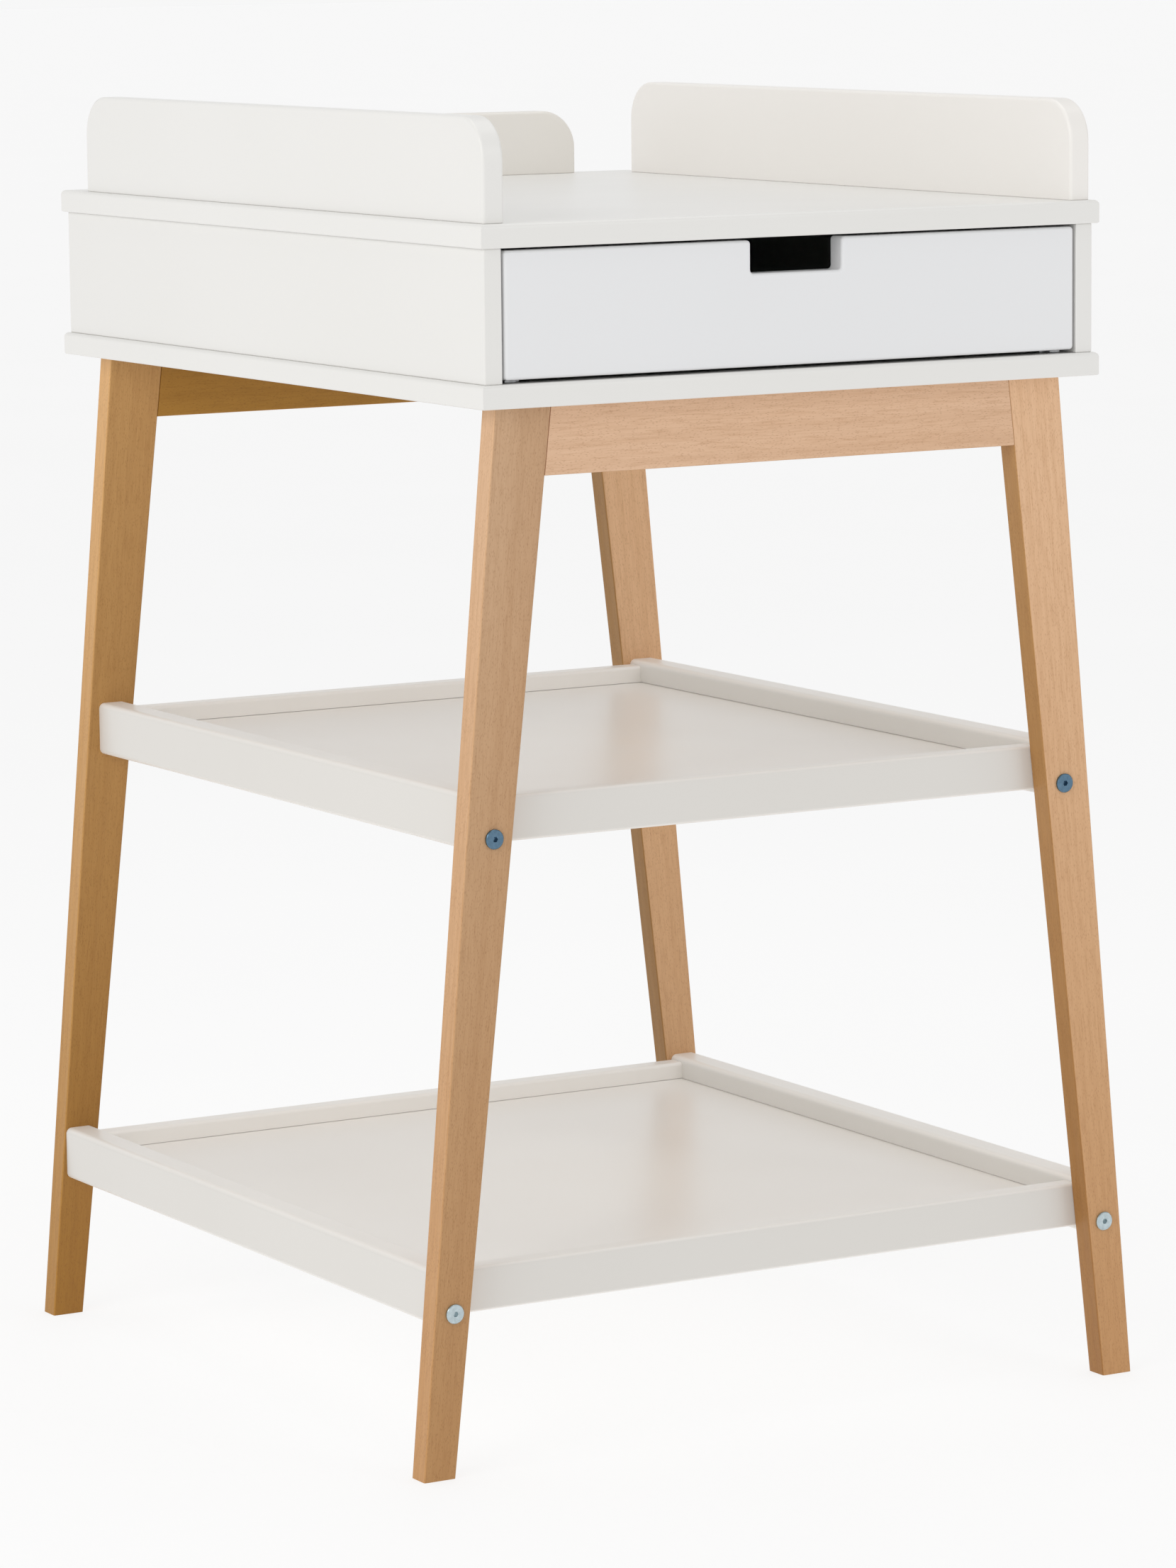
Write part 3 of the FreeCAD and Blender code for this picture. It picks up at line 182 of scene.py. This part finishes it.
def metal(name, colour, roughness, brushed, seed, upper=None):
    """Plated steel: faint brushing, a mottled coat and darker scuffs.

    Where upper is given, it is the colour above BETWEEN_TRAYS, a painted reflection.
    """
    n = Nodes(name)
    here = n.place(shift=(seed, seed, seed))
    lines = n.noise(n.stretched(here, brushed), 300.0, 2.0)
    mottle = n.noise(here, 260.0, 3.0, 0.6)
    plating_and_reflection = colour
    # painted reflection: above BETWEEN_TRAYS the colour turns to upper
    if upper is not None:
        plating_and_reflection = n.mix(n.remap(n.height(), *BETWEEN_TRAYS), colour, upper)
    scuffs = n.mix(n.remap(mottle, 0.35, 0.7), UNTINTED, (0.8, 0.8, 0.8))
    n.set(Base_Color=n.mix(1.0, plating_and_reflection, scuffs, "MULTIPLY"))
    uneven = n.remap(mottle, 0.3, 0.7, roughness - 0.05, roughness + 0.08)
    n.set(Roughness=n.math("ADD", uneven, n.remap(lines, 0.3, 0.7, -0.03, 0.05)))
    n.set(Metallic=1.0)
    n.set(Normal=n.bump(lines, 0.00003, 0.4))
    return n.material


def acetal(name):
    """Moulded white acetal, with a fine texture and a greyer worn tread."""
    n = Nodes(name)
    here = n.place()
    fine = n.noise(here, 1500.0, 2.0)
    cloud = n.noise(here, 90.0, 3.0)
    n.set(Base_Color=n.mix(n.remap(cloud, 0.3, 0.7), (0.78, 0.78, 0.76), (0.7, 0.7, 0.68)))
    n.set(Roughness=n.remap(fine, 0.3, 0.7, 0.42, 0.55))
    n.set(Normal=n.bump(fine, 0.00004, 0.4))
    return n.material


# The colours and tints below carry some of the light on each piece as well as its own colour.

# zinc with a teal tint; the teal is a painted reflection
ZINC_AND_TEAL_REFLECTION = (0.54, 0.63, 0.66)
SATIN = lacquer("white satin lacquer", (0.82, 0.812, 0.79), (0.805, 0.797, 0.772), 0.31, 1.0)
# These are the one white lacquer with painted light and shade: lighter tray panels, rail tops and right
# guard; darker rail sides and back guard; a cooler drawer front.
TRAY_RAIL = lacquer(
    "white lacquer, tray rails, painted light and shade", (0.9, 0.874, 0.835), (0.885, 0.858, 0.817), 0.32, 2.6, (0.83, 0.83, 0.825)
)
TRAY_INSIDE = lacquer("white lacquer, tray panels, painted light", (0.92, 0.893, 0.855), (0.91, 0.88, 0.84), 0.31, 7.1)
RIGHT_GUARD = lacquer("white lacquer, right guard, painted light", (0.89, 0.866, 0.833), (0.877, 0.852, 0.817), 0.31, 4.3)
BACK_GUARD = lacquer("white lacquer, back guard, painted shade", (0.83, 0.803, 0.757), (0.815, 0.787, 0.74), 0.31, 9.4)
DRAWER_FACE = lacquer("white lacquer, drawer front, painted cool shade", (0.82, 0.825, 0.835), (0.805, 0.81, 0.82), 0.31, 8.2)
DRAWER_INSIDE = lacquer("white melamine", (0.8, 0.795, 0.775), (0.78, 0.772, 0.75), 0.48, 5.0)
ZINC = metal("bright zinc", ZINC_AND_TEAL_REFLECTION, 0.22, (1.0, 1.0, 1.0), 2.0)
# the bolts above the lower tray are painted dark blue, a painted reflection
SHELF_BOLTS = metal("bright zinc, bolts", ZINC_AND_TEAL_REFLECTION, 0.22, (1.0, 1.0, 1.0), 2.4, (0.13, 0.22, 0.31))
SHEET = metal("galvanised sheet", (0.5, 0.51, 0.52), 0.38, (1.0, 0.04, 1.0), 3.0)
ACETAL = acetal("white acetal")
UPRIGHT = (0.0, 0.0, 0.0)
ALONG_X = (0.0, -math.pi / 2, 0.0)
LEFT_LEG = (0.0, -LEG_LEAN, 0.0)
RIGHT_LEG = (0.0, LEG_LEAN, 0.0)

BY_SLOT = {
    "white_lacquer": SATIN,
    "drawer_white": DRAWER_INSIDE,
    "dowel_wood": beech("bare dowel", UPRIGHT, 3.1, UNTINTED),
    "zinc_steel": ZINC,
    "runner_steel": SHEET,
    "roller_plastic": ACETAL,
}
# The leg and apron tints are partly the beech's own colour and partly painted light and shade.
BY_NODE = {
    "front_left_leg": beech(
        "beech, front left leg", LEFT_LEG, 1.0, (0.83, 0.82, 0.8), (0.65, 0.53, 0.33), (1.2, 1.18, 1.15)
    ),
    "front_right_leg": beech(
        "beech, front right leg", RIGHT_LEG, 2.3, (1.13, 1.13, 1.14), (0.82, 0.7, 0.5), (0.62, 0.52, 0.3)
    ),
    "rear_left_leg": beech(
        "beech, rear left leg", LEFT_LEG, 3.7, (0.78, 0.67, 0.4), (0.46, 0.32, 0.06), (1.3, 1.35, 1.5)
    ),
    "rear_right_leg": beech(
        "beech, rear right leg", RIGHT_LEG, 4.4, (1.06, 1.01, 0.94), (0.84, 0.76, 0.62), (0.5, 0.42, 0.2)
    ),
    "front_apron": beech("beech, front apron", ALONG_X, 5.2, (1.06, 1.08, 1.16)),
    "rear_apron": beech("beech, rear apron", ALONG_X, 6.6, (0.57, 0.43, 0.1)),
    "drawer_front": DRAWER_FACE,
    "right_guard": RIGHT_GUARD,
    "back_guard": BACK_GUARD,
    "shelf_bolts": SHELF_BOLTS,
}
for tray in ("middle", "lower"):
    for piece in ("left_rail", "right_rail", "front_rail"):
        BY_NODE[f"{tray}_{piece}"] = TRAY_RAIL
    for piece in ("back_rail", "panel"):
        BY_NODE[f"{tray}_{piece}"] = TRAY_INSIDE

slot_of = {entry["node"]: entry["material_slot"] for entry in frame["record"]["subparts"]}
for name, node in frame["nodes"].items():
    finish = BY_NODE.get(name) or BY_SLOT[slot_of[name]]
    node.data.materials.clear()
    node.data.materials.append(finish)


# ---------------------------------------------------------------- floor and light


def make_floor():
    mesh = bpy.data.meshes.new("floor")
    reach = 60.0
    corners = [(-reach, -reach, 0), (reach, -reach, 0), (reach, reach, 0), (-reach, reach, 0)]
    mesh.from_pydata(corners, [], [(0, 1, 2, 3)])
    floor = bpy.data.objects.new("floor", mesh)
    bpy.context.scene.collection.objects.link(floor)
    n = Nodes("pale floor")
    grey = n.mix(n.remap(n.noise(n.place(), 1.5, 3.0), 0.3, 0.7), (0.2, 0.2, 0.2), (0.21, 0.21, 0.21))
    n.set(Base_Color=grey, Roughness=0.9, Emission_Color=(1.0, 1.0, 1.0, 1.0), Emission_Strength=0.765)
    n.material.cycles.emission_sampling = "NONE"
    mesh.materials.append(n.material)


def softbox(name, at, aim, size, power, colour):
    light = bpy.data.lights.new(name, "AREA")
    light.shape = "RECTANGLE"
    light.size, light.size_y = size
    light.energy = power
    light.color = colour
    lamp = bpy.data.objects.new(name, light)
    lamp.location = at
    lamp.rotation_euler = (Vector(aim) - Vector(at)).to_track_quat("-Z", "Y").to_euler()
    bpy.context.scene.collection.objects.link(lamp)


def make_world():
    """Even light from above that brightens to the floor's white at the horizon."""
    world = bpy.data.worlds.new("studio")
    world.use_nodes = True
    tree = world.node_tree
    height = tree.nodes.new("ShaderNodeSeparateXYZ")
    fade = tree.nodes.new("ShaderNodeMapRange")
    tree.links.new(tree.nodes.new("ShaderNodeTexCoord").outputs["Generated"], height.inputs[0])
    tree.links.new(height.outputs["Z"], fade.inputs["Value"])
    for name, value in (("From Min", 0.03), ("From Max", 0.68), ("To Min", 0.93), ("To Max", 0.52)):
        fade.inputs[name].default_value = value
    tree.links.new(fade.outputs["Result"], tree.nodes["Background"].inputs["Strength"])
    tree.nodes["Background"].inputs["Color"].default_value = (1.0, 1.0, 1.0, 1.0)
    world.cycles.sampling_method = "NONE"
    bpy.context.scene.world = world


make_floor()
make_world()
softbox("key", (-3.5, -1.3, 2.45), (0, 0, 0.7), (2.4, 2.0), 38, (1.0, 0.985, 0.965))
softbox("fill", (2.2, -3.4, 2.2), (0, 0, 0.5), (2.2, 2.2), 3, (0.96, 0.98, 1.0))
softbox("overhead", (0.2, 0.1, 3.3), (0, 0, 0.9), (2.6, 2.6), 21, (1.0, 1.0, 1.0))
softbox("strip", (1.5, -3.6, 2.3), (0, 0, 0.9), (0.35, 1.4), 5, (1.0, 1.0, 1.0))


# ---------------------------------------------------------------- camera

YAW, PITCH, ROLL = (math.radians(angle) for angle in (30.3188, 8.3195, -0.5643))
CAMERA_AT = (-2.44079, -4.20522, 1.17487)
SENSOR, LENS = 36.0, 138.61  # in millimetres
forward = Vector((math.sin(YAW) * math.cos(PITCH), math.cos(YAW) * math.cos(PITCH), -math.sin(PITCH)))
level = Vector((math.cos(YAW), -math.sin(YAW), 0.0))
raised = level.cross(forward)
across = level * math.cos(ROLL) + raised * math.sin(ROLL)
up = raised * math.cos(ROLL) - level * math.sin(ROLL)

camera = bpy.data.objects.new("camera", bpy.data.cameras.new("camera"))
camera.data.lens = LENS
camera.data.sensor_width = SENSOR
camera.data.clip_end = 200.0
turned = Matrix((across, up, -forward)).transposed().to_4x4()
camera.matrix_world = Matrix.Translation(CAMERA_AT) @ turned
bpy.context.scene.collection.objects.link(camera)
bpy.context.scene.camera = camera
bpy.context.scene.view_settings.view_transform = "Standard"
